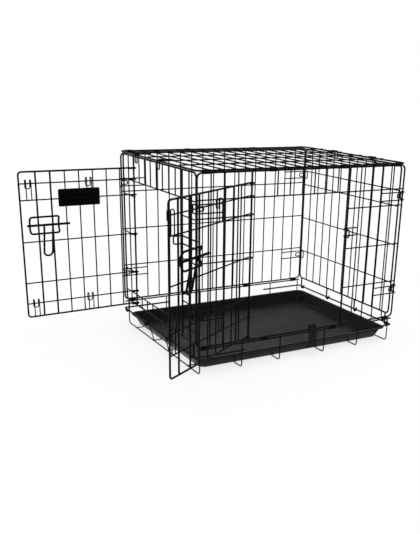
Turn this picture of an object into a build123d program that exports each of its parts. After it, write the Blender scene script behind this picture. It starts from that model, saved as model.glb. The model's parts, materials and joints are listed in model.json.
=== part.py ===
"""A two-door folding wire dog crate: welded panels, hooked doors with slide bolts, a tray and its clip."""

import math
import os

from build123d import *

os.makedirs("parts", exist_ok=True)

# Overall sizes: the length runs along X, the width along Y, and the crate stands on Z = 0.
side_length = 600.0
crate_width = 460.0
rim_height = 66.0
side_bottom = 72.0
side_top = 481.0
top_step = 4.6
end_rod_height = 47.0
end_bottom = 77.0
end_top_drop = 1.0
end_inset = 3.0

# Wires. Welded wires sink into each other by the weld.
frame_wire = 4.0
hinge_wire = 4.2
mesh_wire = 2.8
floor_wire = 3.2
keeper_wire = 3.2
weld = 0.3
hinge_play = 0.6
clip_play = 0.1
frame_corner = 12.0
door_corner = 8.0

# Wire spacing and rows.
side_gaps = 17
hinge_gaps = 4
opening_gaps = 8
end_gaps = 12
strip_gaps = 2
side_rows = (172.5, 275.5, 378.5)
side_header_drop = 60.5
end_rows = (167.0, 271.0, 374.0)
end_header_drop = 65.0
end_sill = 104.5
top_rows = (-138.0, -46.0, 46.0, 138.0)

# Doors: the upper rows are measured down from the door's top wire, the lower rows up from its bottom wire.
end_door_drop = 30.0
end_door_bottom = 83.0
end_door_overlap = 6.0
end_door_upper_rows = (28.5, 69.0, 173.0)
end_door_lower_rows = (89.0, 35.0)
end_door_open = 88.0
side_door_drop = 27.0
side_door_bottom = 79.0
side_door_overlap = 47.6
side_door_upper_rows = (29.8, 71.6, 174.8)
side_door_lower_rows = (99.0, 51.0)
side_door_open = 149.0
hook_return = 16.0

# Latches, keepers and guard hooks on the doors.
end_latch_height = 316.0
side_latch_height = 318.5
bolt_diameter = 6.0
bolt_length = 110.0
bolt_gap = 0.5
bolt_to_keeper = 2.0
bracket_wire = 4.5
bracket_length = 74.0
bracket_height = 42.0
bracket_flat = 18.0
bracket_bend = 6.0
handle_wire = 4.5
handle_width = 22.0
handle_length = 84.0
handle_gap = 0.4
handle_tilt = 11.0
handle_offset = 9.0
keeper_span = 19.0
keeper_reach = 20.0
keeper_past_edge = 6.5
hook_span = 12.5
hook_rise = 8.0
hook_depth = 9.0
hook_drop = 22.0
hook_bend = 4.0
end_hook_share = 0.42
lower_hook_gaps = 3.5
hook_to_plate_clip = 0.4

# The blank plate on the end door.
plate_width = 110.0
plate_height = 44.0
plate_thickness = 1.5
plate_corner = 4.0
plate_drop = 68.0
plate_gap = 0.5
plate_clip_height = 12.0
plate_clip_rise = 11.0

# Corner catches and loops on the long sides, hooks of the top, and hinge clips.
catch_heights = (150.0, 402.0)
catch_span = 20.0
catch_gaps = 2
catch_play = 0.8
catch_bend = 3.0
catch_return = 12.0
loop_reach = 17.0
loop_span = 10.0
left_hook_places = (110.0, -30.0)
right_hook_places = (75.0, -100.0)
top_hook_inside = 34.0
top_hook_drop = 22.0
clip_wall = 0.9
clip_length = 18.0
base_clip_gaps = (0.15, 4.85, 10.85, 15.85)
top_clip_gaps = (0.15, 5.1, 11.1, 15.85)

# Base and tray.
floor_wire_places = (-290.0, -173.0, -61.0, 77.0, 188.0, 292.0)
floor_row_margin = 5.0
floor_rows = (-165.0, -44.0, 44.0, 165.0)
riser_bend = 9.0
riser_foot = 12.0
rod_leg = 136.0
rod_bend = 6.0
link_places = (-50.0, 50.0)
tray_gap = 0.3
tray_wall = 2.2
tray_height = 29.5
tray_left_gap = 6.0
tray_right_gap = 0.0
tray_side_gap = 11.0
tray_slope = 14.0
tray_lip = 6.0
tray_corner = 18.0
stop_gaps = 9
stop_width = 25.0
stop_wall = 1.2
stop_play = 0.4
stop_drop = 49.0
stop_toe = 10.0
stop_tab = 13.0

# Places that several pieces share.
frame_r = frame_wire / 2
hinge_r = hinge_wire / 2
mesh_r = mesh_wire / 2
floor_r = floor_wire / 2
keeper_r = keeper_wire / 2
bolt_r = bolt_diameter / 2
side_x = side_length / 2
side_y = crate_width / 2
side_pitch = side_length / side_gaps
side_header = side_top - side_header_drop
side_door_top = side_top - side_door_drop
side_door_width = opening_gaps * side_pitch + side_door_overlap
end_top = side_top - end_top_drop
end_header = end_top - end_header_drop
end_door_top = end_top - end_door_drop
end_door_rows = [end_door_top - drop for drop in end_door_upper_rows]
end_door_rows += [end_door_bottom + rise for rise in end_door_lower_rows]
side_door_rows = [side_door_top - drop for drop in side_door_upper_rows]
side_door_rows += [side_door_bottom + rise for rise in side_door_lower_rows]
plate_centre = end_door_top - plate_drop
top_height = side_top + top_step
row_inset = 2 * mesh_r - weld
end_x = side_x - end_inset
hook_radius = hinge_r + hinge_play + frame_r
row_radius = hook_radius + frame_r - mesh_r
rod_x = end_x + hook_radius
outside_x = side_x + frame_r + catch_play + mesh_r
end_y = side_y - frame_r - hook_radius - hinge_play - row_inset + weld
end_pitch = 2 * end_y / end_gaps
end_door_width = (end_gaps - 2 * strip_gaps) * end_pitch + end_door_overlap
side_hinge_x = -side_x + hinge_gaps * side_pitch
side_edge_x = side_hinge_x + opening_gaps * side_pitch
end_hinge_y = end_y - strip_gaps * end_pitch
keeper_inset = hinge_r + keeper_r
vertical_out = row_radius + 2 * mesh_r - weld
thick_out = row_radius + mesh_r + frame_r - weld
bolt_out = thick_out + frame_r + bolt_r + bolt_gap
bracket_out = thick_out + frame_r + bracket_wire / 2
arch_out = bolt_out + bolt_r + bolt_gap + bracket_wire / 2
hook_out = row_radius + 2 * mesh_r
plate_out = vertical_out + mesh_r + plate_gap
riser_y = side_y - frame_r - floor_r + weld
tray_bottom = 2 * floor_r + 2 * mesh_r - weld + tray_gap
tray_length = side_length - tray_left_gap - tray_right_gap
tray_x = (tray_left_gap - tray_right_gap) / 2
tray_width = crate_width - 2 * tray_side_gap


def bent_wire(points, diameter, bend, closed=False):
    """A round wire along straight runs joined by bends of one radius."""
    with BuildPart() as piece:
        with BuildLine() as path:
            FilletPolyline(*points, radius=bend, close=closed)
        with BuildSketch(Plane(path.line @ 0, z_dir=path.line % 0)):
            Circle(diameter / 2)
        sweep()
    return piece.part


def hooked_wire(plane, height, reach, radius, diameter):
    """A door's row: straight from its reach to the hinge wire, round it, and back along itself."""
    corners = [(reach, radius), (0, radius), (-radius, 0), (0, -radius), (hook_return, -radius)]
    far, start, middle, end, tail = [plane.from_local_coords((u, height, o)) for u, o in corners]
    with BuildPart() as piece:
        with BuildLine() as path:
            Line(far, start)
            ThreePointArc(start, middle, end)
            Line(end, tail)
        with BuildSketch(Plane(path.line @ 0, z_dir=path.line % 0)):
            Circle(diameter / 2)
        sweep()
    return piece.part


def hinge_foot(x, y, outward):
    """An end panel's hook: down from its bottom wire, round the end rod, and up again outside."""
    middle = x + outward * hook_radius
    outside = x + outward * 2 * hook_radius
    rod_bottom = end_rod_height - hook_radius
    with BuildPart() as piece:
        with BuildLine() as path:
            Line((x, y, end_bottom), (x, y, end_rod_height))
            ThreePointArc((x, y, end_rod_height), (middle, y, rod_bottom), (outside, y, end_rod_height))
            Line((outside, y, end_rod_height), (outside, y, end_rod_height + hook_radius))
        with BuildSketch(Plane(path.line @ 0, z_dir=path.line % 0)):
            Circle(frame_r)
        sweep()
    return piece.part


def frame_loop(corners):
    """A panel's frame: one wire bent round four corners."""
    return bent_wire(corners, frame_wire, frame_corner, closed=True)


def write(piece, name):
    """Label a finished piece and write it."""
    piece.label = name
    export_step(piece, f"parts/{name}.step")


def side_loops(side):
    """The small loops that stand in from a long side's end posts, between its catches."""
    loops = []
    for end in (-1, 1):
        post = end * side_x
        tip = post - end * loop_reach
        for height in catch_heights:
            low, high = height - loop_span / 2, height + loop_span / 2
            corners = [(post, side, high), (tip, side, high), (tip, side, low), (post, side, low)]
            loops.append(bent_wire(corners, mesh_wire, catch_bend))
    return loops


def corner_catches(side, inward):
    """Hairpins on a long side, bent round its end posts and in front of the end panels' posts."""
    outer = side - inward * (frame_r + mesh_r)
    behind = side + inward * catch_return
    catches = []
    for end in (-1, 1):
        start = end * (side_x - catch_gaps * side_pitch)
        tip = end * outside_x
        for height in catch_heights:
            low, high = height - catch_span / 2, height + catch_span / 2
            corners = [(start, outer, high), (tip, outer, high), (tip, behind, high)]
            corners += [(tip, behind, low), (tip, outer, low), (start, outer, low)]
            catches.append(bent_wire(corners, mesh_wire, catch_bend))
    return Compound(children=catches)


def hinge_clips(side, lower, upper, places):
    """Flat metal bands that tie two neighbouring rods, one above the other, on a long side."""
    inner_r = frame_r + clip_play
    outer_r = inner_r + clip_wall
    middle = (lower + upper) / 2
    with BuildPart() as clips:
        for place in places:
            x = -side_x + (place + 0.5) * side_pitch
            across = Plane((x, side, middle), x_dir=(0, 0, 1), z_dir=(1, 0, 0))
            with BuildSketch(across):
                SlotCenterToCenter(upper - lower, 2 * outer_r)
                SlotCenterToCenter(upper - lower, 2 * inner_r, mode=Mode.SUBTRACT)
            extrude(amount=clip_length / 2, both=True)
    return clips.part


def top_hooks(end, places):
    """Hairpins on the top's end wire, bent down outside an end panel's top wire."""
    inside = end * (side_x - top_hook_inside)
    outside = end * outside_x
    upper = top_height + frame_r + mesh_r
    lower = upper - top_hook_drop
    hooks = []
    for place in places:
        near, far = place - hook_span / 2, place + hook_span / 2
        corners = [(inside, near, upper), (outside, near, upper), (outside, near, lower)]
        corners += [(outside, far, lower), (outside, far, upper), (inside, far, upper)]
        hooks.append(bent_wire(corners, mesh_wire, hook_bend))
    return Compound(children=hooks)


def end_panel(end, has_door):
    """An end: a frame with mesh wires and four hooks round the end rod, with a doorway if it has a door."""
    x = end * end_x
    row_x = x - end * row_inset
    middle_z = (end_bottom + end_top) / 2
    tall = end_top - end_bottom
    strip = strip_gaps * end_pitch
    places = [-end_y + i * end_pitch for i in range(1, end_gaps)]
    door_places = places[strip_gaps:-strip_gaps]
    edges = [-end_hinge_y, end_hinge_y]
    full_rows = [end_header]
    long_places = places
    if has_door:
        full_rows.append(end_sill)
        long_places = places[: strip_gaps - 1] + places[1 - strip_gaps :]
    else:
        full_rows.extend(end_rows)
    corners = [(x, -end_y, end_bottom), (x, end_y, end_bottom), (x, end_y, end_top), (x, -end_y, end_top)]
    foot_y = end_y - frame_corner
    feet_y = [-foot_y, -foot_y / 3, foot_y / 3, foot_y]
    with BuildPart() as panel:
        with Locations(*[(row_x, 0, z) for z in full_rows]):
            Cylinder(mesh_r, 2 * end_y, rotation=(90, 0, 0))
        if has_door:
            strip_middle = end_y - strip / 2
            with Locations(*[(row_x, s * strip_middle, z) for s in (-1, 1) for z in end_rows]):
                Cylinder(mesh_r, strip, rotation=(90, 0, 0))
            header_middle = (end_header + end_top) / 2
            with Locations(*[(x, y, header_middle) for y in door_places]):
                Cylinder(mesh_r, end_top - end_header)
            sill_middle = (end_bottom + end_sill) / 2
            with Locations(*[(x, y, sill_middle) for y in door_places]):
                Cylinder(mesh_r, end_sill - end_bottom)
            with Locations(*[(x, y, middle_z) for y in edges]):
                Cylinder(hinge_r, tall)
        with Locations(*[(x, y, middle_z) for y in long_places]):
            Cylinder(mesh_r, tall)
        add([frame_loop(corners)] + [hinge_foot(x, y, end) for y in feet_y])
    return panel.part


def side_panel(side, inward, has_door):
    """A long side: a frame, mesh wires and corner loops, with a doorway if it has a door."""
    row_y = side + inward * row_inset
    middle_z = (side_bottom + side_top) / 2
    tall = side_top - side_bottom
    places = [-side_x + i * side_pitch for i in range(1, side_gaps)]
    long_places = places
    full_rows = [side_header] if has_door else side_rows
    corners = [(-side_x, side, side_bottom), (side_x, side, side_bottom)]
    corners += [(side_x, side, side_top), (-side_x, side, side_top)]
    with BuildPart() as panel:
        with Locations(*[(0, row_y, z) for z in full_rows]):
            Cylinder(mesh_r, side_length, rotation=(0, 90, 0))
        if has_door:
            opening_start, opening_end = hinge_gaps - 1, hinge_gaps + opening_gaps
            long_places = places[:opening_start] + places[opening_end:]
            left_length = side_hinge_x + side_x
            with Locations(*[(side_hinge_x - left_length / 2, row_y, z) for z in side_rows]):
                Cylinder(mesh_r, left_length, rotation=(0, 90, 0))
            right_length = side_x - side_edge_x
            with Locations(*[(side_edge_x + right_length / 2, row_y, z) for z in side_rows]):
                Cylinder(mesh_r, right_length, rotation=(0, 90, 0))
            header_middle = (side_header + side_top) / 2
            with Locations(*[(x, side, header_middle) for x in places[opening_start + 1 : opening_end - 1]]):
                Cylinder(mesh_r, side_top - side_header)
            with Locations(*[(x, side, middle_z) for x in (side_hinge_x, side_edge_x)]):
                Cylinder(hinge_r, tall)
        with Locations(*[(x, side, middle_z) for x in long_places]):
            Cylinder(mesh_r, tall)
        add([frame_loop(corners)] + side_loops(side))
    return panel.part


def door_panel(plane, top, bottom, width, rows, pitch, thick):
    """A door: a bent frame and rows hooked round the hinge wire, with upright wires outside them.

    The thick wires stand at these numbers of pitches from the hinge, and the thin ones fill the rest.
    """
    middle = (top + bottom) / 2
    turn = width - 2 * door_corner
    corners = [(turn, top), (width, top), (width, bottom), (turn, bottom)]
    bow = [plane.from_local_coords((u, height, hook_radius)) for u, height in corners]
    wires = [bent_wire(bow, frame_wire, door_corner)]
    wires += [hooked_wire(plane, height, turn, hook_radius, frame_wire) for height in (top, bottom)]
    wires += [hooked_wire(plane, row, width, row_radius, mesh_wire) for row in rows]
    thin = range(1, thick[0])
    with BuildPart() as panel:
        with Locations(*[plane.location * Location((i * pitch, middle, vertical_out)) for i in thin]):
            Cylinder(mesh_r, top - bottom, rotation=(90, 0, 0))
        with Locations(*[plane.location * Location((i * pitch, middle, thick_out)) for i in thick]):
            Cylinder(frame_r, top - bottom, rotation=(90, 0, 0))
        add(wires)
    return panel.part


def guard_hooks(plane, levels):
    """A door's hairpin hooks: up past a row, bent over outwards and hanging, closed at the tip."""
    hooks = []
    outer = hook_out + hook_depth
    for low, row, places in levels:
        crest, tip = row + hook_rise, row + hook_rise - hook_drop
        for u in places:
            left, right = u - hook_span / 2, u + hook_span / 2
            local = [(left, low, hook_out), (left, crest, hook_out), (left, crest, outer), (left, tip, outer)]
            local += [(right, tip, outer), (right, crest, outer)]
            local += [(right, crest, hook_out), (right, low, hook_out)]
            hooks.append(bent_wire([plane.from_local_coords(p) for p in local], mesh_wire, hook_bend))
    return Compound(children=hooks)


def latch_bracket(plane, centre, height):
    """The latch's guide: a ring of two bars across two upright wires, arched over the bolt at both ends."""
    half, rise, flat = bracket_length / 2, bracket_height / 2, bracket_flat / 2
    ring = [(-half, rise, bracket_out), (half, rise, bracket_out)]
    ring += [(half, flat, arch_out), (half, -flat, arch_out)]
    ring += [(half, -rise, bracket_out), (-half, -rise, bracket_out)]
    ring += [(-half, -flat, arch_out), (-half, flat, arch_out)]
    corners = [plane.from_local_coords((centre + u, height + v, o)) for u, v, o in ring]
    return bent_wire(corners, bracket_wire, bracket_bend, closed=True)


def latch_bolt(plane, tip, height):
    """The sliding bolt, with rounded edges at its ends."""
    with BuildPart() as bolt:
        with Locations(plane.location * Location((tip - bolt_length / 2, height, bolt_out))):
            Cylinder(bolt_r, bolt_length, rotation=(0, 90, 0))
        fillet(bolt.edges().filter_by(GeomType.CIRCLE), bolt_r / 2)
    return bolt.part


def latch_handle(plane, centre, height):
    """The bolt's U-shaped handle, hanging against the bracket's lower bar."""
    start = bolt_r + handle_gap
    tilt = math.radians(handle_tilt)
    half = handle_width / 2
    local = []
    for u, down in [(-half, start), (-half, handle_length), (half, handle_length), (half, start)]:
        drop, out = down * math.cos(tilt), down * math.sin(tilt)
        local.append((centre + u, height - drop, bolt_out + out))
    return bent_wire([plane.from_local_coords(p) for p in local], handle_wire, half - weld)


# Base: a flat floor of cross wires and rows, and on each long side a rail whose risers bend into the floor.
bend_y = riser_y - riser_foot
with BuildPart() as floor_grid:
    with Locations(*[(0, y, 2 * floor_r + mesh_r - weld) for y in floor_rows]):
        Cylinder(mesh_r, side_length - 2 * floor_row_margin, rotation=(0, 90, 0))
    with Locations(*[(x, 0, floor_r) for x in floor_wire_places]):
        Cylinder(floor_r, 2 * bend_y, rotation=(90, 0, 0))
write(floor_grid.part, "floor_grid")
for side, name in ((-1, "near_base_rail"), (1, "far_base_rail")):
    risers = []
    for x in floor_wire_places:
        foot = (x, side * riser_y, floor_r)
        corners = [(x, side * riser_y, rim_height + frame_r), foot, (x, side * bend_y, floor_r)]
        risers.append(bent_wire(corners, floor_wire, riser_bend))
    with BuildPart() as rail:
        with Locations((0, side * side_y, rim_height)):
            Cylinder(frame_r, side_length, rotation=(0, 90, 0))
        add(risers)
    write(rail.part, name)

# The end rods run across both ends and turn along the long sides to the first cross wires.
for end, name in ((-1, "left_end_rod"), (1, "right_end_rod")):
    x, leg_end = end * rod_x, end * (rod_x - rod_leg)
    leg_y = riser_y + floor_r + frame_r
    plan = [(leg_end, -leg_y), (x, -leg_y), (x, leg_y), (leg_end, leg_y)]
    write(bent_wire([(px, py, end_rod_height) for px, py in plan], frame_wire, rod_bend), name)

# Links that carry the left end rod on the base's first cross wire. Their ends rest on both.
rod_axis, wire_axis = Vector(-rod_x, 0, end_rod_height), Vector(floor_wire_places[0], 0, floor_r)
link_way = (wire_axis - rod_axis).normalized()
link_top = rod_axis + link_way * frame_r
link_foot = wire_axis - link_way * floor_r
links = []
for y in link_places:
    with BuildPart() as link:
        with BuildLine():
            Line(link_top + Vector(0, y, 0), link_foot + Vector(0, y, 0))
        with BuildSketch(Plane(link_top + Vector(0, y, 0), z_dir=link_way)):
            Circle(mesh_r)
        sweep()
    links.append(link.part)
write(Compound(children=links), "left_rod_links")

# The tray: a shallow pan with sloping walls and a turned-out lip.
lip_z = tray_bottom + tray_height
pan_length, pan_width = tray_length - 2 * tray_lip, tray_width - 2 * tray_lip
with BuildPart() as tray:
    with BuildSketch(Plane((tray_x, 0, tray_bottom))):
        RectangleRounded(pan_length - 2 * tray_slope, pan_width - 2 * tray_slope, tray_corner)
    with BuildSketch(Plane((tray_x, 0, lip_z))):
        RectangleRounded(pan_length, pan_width, tray_corner)
    loft()
    with BuildSketch(Plane((tray_x, 0, lip_z - tray_wall))):
        RectangleRounded(tray_length, tray_width, tray_corner + tray_lip)
    extrude(amount=tray_wall)
    shrink = 2 * tray_wall
    with BuildSketch(Plane((tray_x, 0, tray_bottom + tray_wall))):
        inner_length = pan_length - 2 * tray_slope - shrink
        RectangleRounded(inner_length, pan_width - 2 * tray_slope - shrink, tray_corner - tray_wall)
    with BuildSketch(Plane((tray_x, 0, lip_z + tray_gap))):
        RectangleRounded(pan_length - shrink, pan_width - shrink, tray_corner - tray_wall)
    loft(mode=Mode.SUBTRACT)
write(tray.part, "tray")

# The tray's clip: a strap curled round the near side's bottom rail, from a tab above it to below the lip.
stop_x = -side_x + (stop_gaps + 0.5) * side_pitch
ring_r = frame_r + stop_play
strap_out = ring_r + stop_wall
with BuildPart() as tray_stop:
    with BuildSketch(Plane((stop_x, -side_y, side_bottom), x_dir=(0, 1, 0), z_dir=(1, 0, 0))):
        Circle(strap_out)
        with Locations((-strap_out + stop_wall / 2, -stop_drop / 2)):
            Rectangle(stop_wall, stop_drop)
        with Locations((-strap_out + stop_toe / 2, -stop_drop + stop_wall / 2)):
            Rectangle(stop_toe, stop_wall)
        with Locations((strap_out - stop_wall / 2, stop_tab / 2)):
            Rectangle(stop_wall, stop_tab)
        Circle(ring_r, mode=Mode.SUBTRACT)
    extrude(amount=stop_width / 2, both=True)
    fillet(tray_stop.edges().filter_by(Axis.X).group_by(Axis.Z)[0], stop_wall / 4)
write(tray_stop.part, "tray_stop")

# Long sides, with their catches and the bands that hinge them to the base and the top.
write(side_panel(-side_y, 1, True), "near_side_panel")
write(side_panel(side_y, -1, False), "far_side_panel")
for side, inward, name in ((-side_y, 1, "near"), (side_y, -1, "far")):
    write(corner_catches(side, inward), f"{name}_corner_catches")
    write(hinge_clips(side, rim_height, side_bottom, base_clip_gaps), f"{name}_base_clips")
    write(hinge_clips(side, side_top, top_height, top_clip_gaps), f"{name}_top_clips")

# Top: a frame with cross wires in it and rows on it.
top_corners = [(-side_x, -side_y), (side_x, -side_y), (side_x, side_y), (-side_x, side_y)]
with BuildPart() as top_panel:
    with Locations(*[(0, y, top_height + row_inset) for y in top_rows]):
        Cylinder(mesh_r, side_length, rotation=(0, 90, 0))
    with Locations(*[(-side_x + i * side_pitch, 0, top_height) for i in range(1, side_gaps)]):
        Cylinder(mesh_r, crate_width, rotation=(90, 0, 0))
    add(frame_loop([(x, y, top_height) for x, y in top_corners]))
write(top_panel.part, "top_panel")
write(top_hooks(-1, left_hook_places), "left_top_hooks")
write(top_hooks(1, right_hook_places), "right_top_hooks")

# Ends.
write(end_panel(-1, True), "left_end_panel")
write(end_panel(1, False), "right_end_panel")

# Keepers: hairpins inside the strip beside each doorway, bent out through it to take the bolt.
low, high = end_latch_height - keeper_span / 2, end_latch_height + keeper_span / 2
keeper_x, keeper_tip_x = -end_x + keeper_inset, -end_x - keeper_reach
end_keeper_y = -end_hinge_y + keeper_past_edge
corners = [(keeper_x, -end_y, high), (keeper_x, end_keeper_y, high), (keeper_tip_x, end_keeper_y, high)]
corners += [(keeper_tip_x, end_keeper_y, low), (keeper_x, end_keeper_y, low), (keeper_x, -end_y, low)]
write(bent_wire(corners, keeper_wire, hook_bend), "end_keeper")
low, high = side_latch_height - keeper_span / 2, side_latch_height + keeper_span / 2
keeper_y, keeper_tip_y = -side_y + keeper_inset, -side_y - keeper_reach
side_keeper_x = side_edge_x - keeper_past_edge
side_keeper_end = side_edge_x + side_pitch
corners = [(side_keeper_end, keeper_y, high), (side_keeper_x, keeper_y, high)]
corners += [(side_keeper_x, keeper_tip_y, high), (side_keeper_x, keeper_tip_y, low)]
corners += [(side_keeper_x, keeper_y, low), (side_keeper_end, keeper_y, low)]
write(bent_wire(corners, keeper_wire, hook_bend), "side_keeper")


def door_plane(x, y, closed_direction, opened):
    """A door's own plane at its hinge axis: x along the door, y upwards, z out of its outer face."""
    along = Vector(*closed_direction, 0).rotate(Axis.Z, -opened)
    return Plane((x, y, 0), x_dir=along, z_dir=along.cross(Vector(0, 0, 1)))


# End door, with its latch, hooks and plate.
end_plane = door_plane(-end_x, end_hinge_y, (0, -1), end_door_open)
end_thick = (6, 7)
write(
    door_panel(end_plane, end_door_top, end_door_bottom, end_door_width, end_door_rows, end_pitch, end_thick),
    "end_door_panel",
)
end_centre = (end_thick[0] + end_thick[1]) / 2 * end_pitch
end_bolt_tip = end_hinge_y - end_keeper_y - keeper_r - bolt_to_keeper
end_last_wire = end_thick[1] * end_pitch
end_hook_free = end_last_wire + end_hook_share * (end_door_width - end_last_wire)
plate_u = 4 * end_pitch
plate_clip_r = mesh_r + plate_gap
end_hook_upper = plate_u - end_pitch + plate_clip_r + hook_to_plate_clip + mesh_r + hook_span / 2
end_hook_lower = lower_hook_gaps * end_pitch
end_levels = (
    (end_door_rows[1], end_door_rows[0], (end_hook_free, end_hook_upper)),
    (end_door_bottom, end_door_rows[4], (end_hook_free, end_hook_lower)),
)
write(guard_hooks(end_plane, end_levels), "end_door_guard_hooks")
write(latch_bracket(end_plane, end_centre, end_latch_height), "end_latch_bracket")
write(latch_bolt(end_plane, end_bolt_tip, end_latch_height), "end_latch_bolt")
write(latch_handle(end_plane, end_centre - handle_offset, end_latch_height), "end_latch_handle")
plate_face = end_plane.offset(plate_out)
with BuildPart() as name_plate:
    with BuildSketch(plate_face):
        with Locations((plate_u, plate_centre)):
            RectangleRounded(plate_width, plate_height, plate_corner)
    extrude(amount=plate_thickness)
write(name_plate.part, "name_plate")
clip_z = plate_centre + plate_clip_rise
plate_clip_places = [(plate_u + s * end_pitch, clip_z, vertical_out) for s in (-1, 1)]
with BuildPart() as plate_clips:
    with Locations(*[end_plane.location * Location(p) for p in plate_clip_places]):
        Cylinder(plate_clip_r, plate_clip_height, rotation=(90, 0, 0))
        Cylinder(mesh_r + clip_play, plate_clip_height, rotation=(90, 0, 0), mode=Mode.SUBTRACT)
write(plate_clips.part, "name_plate_clips")

# Side door, with its latch and hooks.
side_plane = door_plane(side_hinge_x, -side_y, (1, 0), side_door_open)
side_thick = (6, 7, 8.25)
write(
    door_panel(
        side_plane, side_door_top, side_door_bottom, side_door_width, side_door_rows, side_pitch, side_thick
    ),
    "side_door_panel",
)
side_centre = (side_thick[0] + side_thick[1]) / 2 * side_pitch
side_bolt_tip = side_keeper_x - side_hinge_x - keeper_r - bolt_to_keeper
side_hook_places = ((side_thick[2] * side_pitch + side_door_width) / 2, 3.5 * side_pitch)
side_levels = (
    (side_door_rows[1], side_door_rows[0], side_hook_places),
    (side_door_rows[4], side_door_rows[3], side_hook_places),
)
write(guard_hooks(side_plane, side_levels), "side_door_guard_hooks")
write(latch_bracket(side_plane, side_centre, side_latch_height), "side_latch_bracket")
write(latch_bolt(side_plane, side_bolt_tip, side_latch_height), "side_latch_bolt")
write(latch_handle(side_plane, side_centre - handle_offset, side_latch_height), "side_latch_handle")
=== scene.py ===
"""Dresses a two-door folding wire dog crate: welded wire panels, slide-bolt doors and a moulded tray.

Lengths in the classes are millimetres in the crate's own frame; meshes are written in metres.
"""

import json
import logging
import math
from dataclasses import dataclass
from enum import Enum
from typing import Any, Callable, Iterable, Optional, Sequence, Union

import bpy
from mathutils import Matrix, Vector

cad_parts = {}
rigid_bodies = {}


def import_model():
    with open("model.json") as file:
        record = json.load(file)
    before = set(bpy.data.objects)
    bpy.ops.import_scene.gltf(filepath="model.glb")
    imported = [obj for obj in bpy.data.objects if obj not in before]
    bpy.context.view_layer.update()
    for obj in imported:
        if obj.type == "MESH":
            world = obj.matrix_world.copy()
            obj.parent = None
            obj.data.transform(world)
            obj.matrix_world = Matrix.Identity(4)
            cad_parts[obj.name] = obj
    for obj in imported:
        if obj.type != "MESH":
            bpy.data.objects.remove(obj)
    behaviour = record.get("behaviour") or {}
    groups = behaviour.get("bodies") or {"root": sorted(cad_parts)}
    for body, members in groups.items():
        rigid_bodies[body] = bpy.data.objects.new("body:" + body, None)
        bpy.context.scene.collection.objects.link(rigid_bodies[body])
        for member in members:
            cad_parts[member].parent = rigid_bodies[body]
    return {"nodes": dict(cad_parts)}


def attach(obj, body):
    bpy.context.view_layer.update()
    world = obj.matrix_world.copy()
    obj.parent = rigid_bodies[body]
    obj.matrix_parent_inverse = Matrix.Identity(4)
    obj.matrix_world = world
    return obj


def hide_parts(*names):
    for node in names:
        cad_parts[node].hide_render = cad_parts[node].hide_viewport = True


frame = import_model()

LOG = logging.getLogger("wire_crate")
MM = 0.001

Point = tuple[float, float, float]
Pair = tuple[float, float]
Row = tuple[float, ...]
Pairs = tuple[Pair, ...]
Colour = tuple[float, float, float, float]
Put = Callable[[float, float, float], Point]
Value = Union["Socket", float]


class Sign(Enum):
    """Which way along an axis a mirrored piece lies."""

    LOW = -1
    HIGH = 1


class Body(str, Enum):
    """The rigid bodies that pieces ride on."""

    CRATE = "crate"
    TRAY = "tray"
    RIGHT_END = "right_end"
    END_DOOR = "end_door"
    END_BOLT = "end_bolt"
    END_HANDLE = "end_handle"
    SIDE_DOOR = "side_door"
    SIDE_BOLT = "side_bolt"
    SIDE_HANDLE = "side_handle"


class Slot(str, Enum):
    """The record's material slots."""

    COAT = "black_coat"
    TRAY = "tray_plastic"
    PLATE = "plate_plastic"


@dataclass(frozen=True)
class Gauges:
    """Wire radii and the gaps between wires."""

    frame: float = 2.0
    hinge: float = 2.1
    mesh: float = 1.4
    floor: float = 1.6
    keeper: float = 1.6
    bracket: float = 2.25
    bolt: float = 3.0
    weld: float = 0.3
    hinge_play: float = 0.6
    catch_play: float = 0.8
    coat: float = 0.28

    @property
    def row_inset(self) -> float:
        """How far a row's axis lies from the axes of the wires that it is welded to."""
        return 2 * self.mesh - self.weld

    @property
    def hook(self) -> float:
        """Radius of a frame wire's hook round a hinge wire."""
        return self.hinge + self.hinge_play + self.frame

    @property
    def row_hook(self) -> float:
        """Radius of a row's hook round a hinge wire."""
        return self.hook + self.frame - self.mesh


@dataclass(frozen=True)
class Beads:
    """Radii of the weld beads, and how far some of them lie off a wire's axis or end."""

    floor: float = 1.7
    rail: float = 2.0
    link: float = 2.3
    row: float = 1.75
    frame: float = 2.1
    frame_shift: float = 1.2
    foot: float = 2.5
    foot_shift: float = 1.0
    door: float = 1.8
    door_edge: float = 2.0
    door_edge_shift: float = 0.8


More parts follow.
